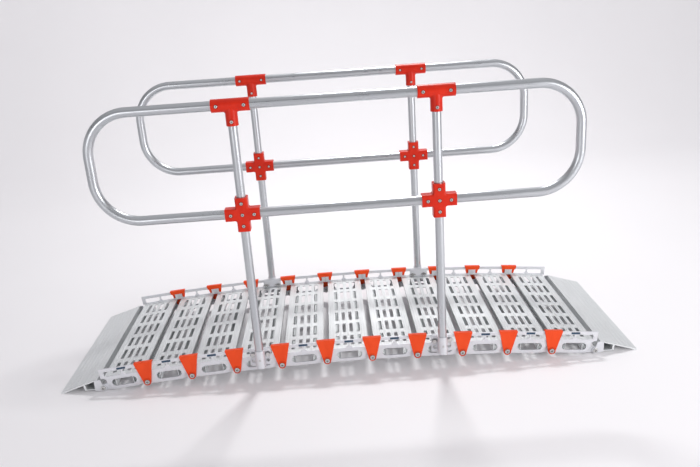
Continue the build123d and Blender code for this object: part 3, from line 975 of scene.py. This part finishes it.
@dataclass
class Studio:
    """Pale sweep, soft light and the camera."""

    floor_reach: float = 14.0
    wall_distance: float = 5.5
    sweep_radius: float = 2.5
    sweep_steps: int = 24
    wall_height: float = 3.4
    camera_place: Point = (-0.0077, -2.8003, 1.3974)
    camera_pitch: float = math.radians(18.664)
    camera_yaw: float = math.radians(0.954)
    camera_roll: float = math.radians(-3.925)
    lens_mm: float = 36.51
    sensor_mm: float = 36.0
    far_clip: float = 100.0
    horizon_glow: float = 0.72
    belt_glow: float = 0.3
    top_glow: float = 0.28

    def sweep(self) -> None:
        """Make the floor that curves up into a backdrop."""
        bend_start = self.wall_distance - self.sweep_radius
        line = [(-self.floor_reach, 0.0), (bend_start, 0.0)]
        for step in range(1, self.sweep_steps + 1):
            angle = math.pi / 2 * step / self.sweep_steps
            y = bend_start + self.sweep_radius * math.sin(angle)
            line.append((y, self.sweep_radius * (1 - math.cos(angle))))
        line.append((self.wall_distance, self.wall_height))
        mesh = bmesh.new()
        rows = [
            [mesh.verts.new((x, y, z)) for x in (-self.floor_reach, self.floor_reach)]
            for y, z in line
        ]
        for low, high in zip(rows, rows[1:]):
            mesh.faces.new((low[0], low[1], high[1], high[0]))
        mesh_piece("studio_sweep", mesh, STUDIO_PAPER.material())

    def world(self) -> None:
        """Surround the scene with soft light: bright above, a dark belt over the backdrop."""
        world = bpy.data.worlds.new("studio_light")
        bpy.context.scene.world = world
        world.use_nodes = True
        tree = world.node_tree
        tree.nodes.clear()
        place = add_node(tree, "TexCoord").outputs["Generated"]
        height = add_node(tree, "SeparateXYZ", inputs={0: place}).outputs["Z"]
        fall = (self.horizon_glow, self.belt_glow)
        low = add_node(tree, "MapRange", inputs=ranged(height, (0.08, 0.3), fall))
        rise = (0.0, self.top_glow)
        high = add_node(tree, "MapRange", inputs=ranged(height, (0.5, 0.8), rise))
        glow = add_node(tree, "Math", {"operation": "ADD"}, {0: low, 1: high})
        background = add_node(
            tree, "Background", inputs={"Color": linear_rgb("#FCFBFF"), "Strength": glow}
        )
        output = add_node(tree, "OutputWorld")
        tree.links.new(background.outputs[0], output.inputs[0])

    def camera(self) -> None:
        """Set up the camera."""
        yaw, pitch, roll = self.camera_yaw, self.camera_pitch, self.camera_roll
        forward = Vector(
            (math.sin(yaw) * math.cos(pitch), math.cos(yaw) * math.cos(pitch), -math.sin(pitch))
        )
        right = Vector((math.cos(yaw), -math.sin(yaw), 0))
        up = right.cross(forward)
        right_rolled = math.cos(roll) * right + math.sin(roll) * up
        up_rolled = math.cos(roll) * up - math.sin(roll) * right
        turn = Matrix((right_rolled, up_rolled, -forward)).transposed().to_4x4()
        data = bpy.data.cameras.new("camera")
        data.lens = self.lens_mm
        data.sensor_width = self.sensor_mm
        data.clip_end = self.far_clip
        camera = bpy.data.objects.new("camera", data)
        camera.matrix_world = Matrix.Translation(self.camera_place) @ turn
        bpy.context.scene.collection.objects.link(camera)
        bpy.context.scene.camera = camera

    def build(self) -> None:
        """Set up floor, light and camera."""
        self.sweep()
        self.world()
        for box in SOFT_BOXES:
            box.hang()
        self.camera()
        bpy.context.scene.view_settings.view_transform = "Standard"
        LOG.info("studio set")


def corners(bounds: Iterable[Vector]) -> list[list[float]]:
    """Bounds as plain lists of numbers."""
    return [list(corner) for corner in bounds]


def main() -> None:
    """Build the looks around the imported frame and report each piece."""
    logging.basicConfig(level=logging.INFO, format="%(name)s: %(message)s")
    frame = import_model()
    materials = {
        "extruded": EXTRUDED.material(),
        "tumbled": TUMBLED.material(),
        "rail": DRAWN_RAIL.material(),
        "post": DRAWN_POST.material(),
        "clip": CLIP_NYLON.material(),
        "clamp": CLAMP_NYLON.material(),
        "zinc": ZINC.material(),
        "vinyl": PLATE_VINYL.material(),
    }
    chain = Chain()
    LinkChain(frame, chain).build(materials)
    JointClips(frame, chain).build(materials)
    EndFlaps(frame).build(materials)
    Handrails(frame, chain).build(materials)
    Studio().build()


if __name__ == "__main__":
    main()
